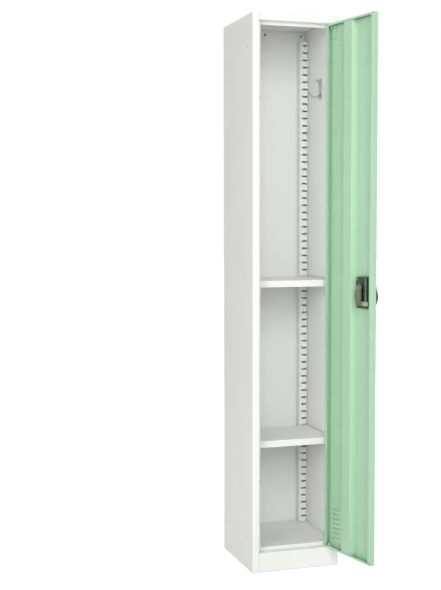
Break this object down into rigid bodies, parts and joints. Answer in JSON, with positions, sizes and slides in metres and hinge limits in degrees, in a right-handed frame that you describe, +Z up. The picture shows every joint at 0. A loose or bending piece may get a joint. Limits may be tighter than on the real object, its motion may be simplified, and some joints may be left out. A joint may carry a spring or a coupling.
{
  "type": "school locker",
  "caption": "Tall single-door steel school locker with adjustable shelves, coat hooks, louvred pan door on pivot pins and a padlock lever latch.",
  "frame": {"origin": "on the floor, middle of the kick plate's foot flange, 8 mm behind the cabinet's front face and on its centre line", "axes": "+X to the hinge side of the door as seen from the front, +Y towards the back, +Z up; the door is stored open by 101 degrees"},
  "size_m": [0.3616, 0.5487, 1.829],
  "materials": {
    "body_powder_coat": "fine-textured white powder coat",
    "door_powder_coat": "fine-textured mint green powder coat",
    "satin_nickel": "satin nickel plated steel and zinc casting",
    "zinc_plate": "bright zinc plated steel",
    "black_plastic": "satin black moulded plug",
    "nylon": "natural nylon",
    "bumper_rubber": "light grey rubber"
  },
  "bodies": {
    "cabinet": {"left_side_panel": "body_powder_coat", "right_side_panel": "body_powder_coat", "back_panel": "body_powder_coat", "top_panel": "body_powder_coat", "bottom_panel": "body_powder_coat", "kick_plate": "body_powder_coat", "rear_upright_left": "body_powder_coat", "rear_upright_right": "body_powder_coat", "front_upright_left": "body_powder_coat", "front_upright_right": "body_powder_coat", "upper_shelf_clips": "zinc_plate", "lower_shelf_clips": "zinc_plate", "coat_hook_left": "zinc_plate", "coat_hook_right": "zinc_plate", "hook_rivets": "zinc_plate", "back_panel_rivets": "body_powder_coat", "door_bumpers": "bumper_rubber", "top_pivot_pin": "zinc_plate", "bottom_pivot_pin": "zinc_plate"},
    "upper_shelf_tray": {"upper_shelf": "body_powder_coat"},
    "lower_shelf_tray": {"lower_shelf": "body_powder_coat"},
    "door": {"door_panel": "door_powder_coat", "door_stiffener": "door_powder_coat", "top_pivot_bracket": "zinc_plate", "bottom_pivot_bracket": "zinc_plate", "bottom_pivot_bush": "nylon", "top_pivot_bush": "nylon", "handle_plate": "satin_nickel", "cylinder_hole_plug": "black_plastic", "padlock_staple": "satin_nickel", "lock_case": "zinc_plate", "lock_case_screws": "zinc_plate", "spindle_sleeve": "nylon"},
    "lever": {"handle_lever": "satin_nickel", "spindle": "zinc_plate", "latch_cam": "zinc_plate", "cam_nut": "zinc_plate"}
  },
  "joints": [
    {"name": "door_hinge", "type": "hinge", "parent": "cabinet", "child": "door", "pos_m": [0.1215, -0.003, 0.935], "axis": [0, 0, 1], "range_deg": [-101, 9]},
    {"name": "lever_turn", "type": "hinge", "parent": "door", "child": "lever", "pos_m": [0.1648, -0.1917, 0.951], "axis": [-0.9816, -0.1908, 0], "range_deg": [0, 90]},
    {"name": "upper_shelf_lift", "type": "slide", "parent": "cabinet", "child": "upper_shelf_tray", "axis": [0, 0, 1], "range_m": [0, 0.0254]},
    {"name": "lower_shelf_lift", "type": "slide", "parent": "cabinet", "child": "lower_shelf_tray", "axis": [0, 0, 1], "range_m": [0, 0.0254]}
  ]
}
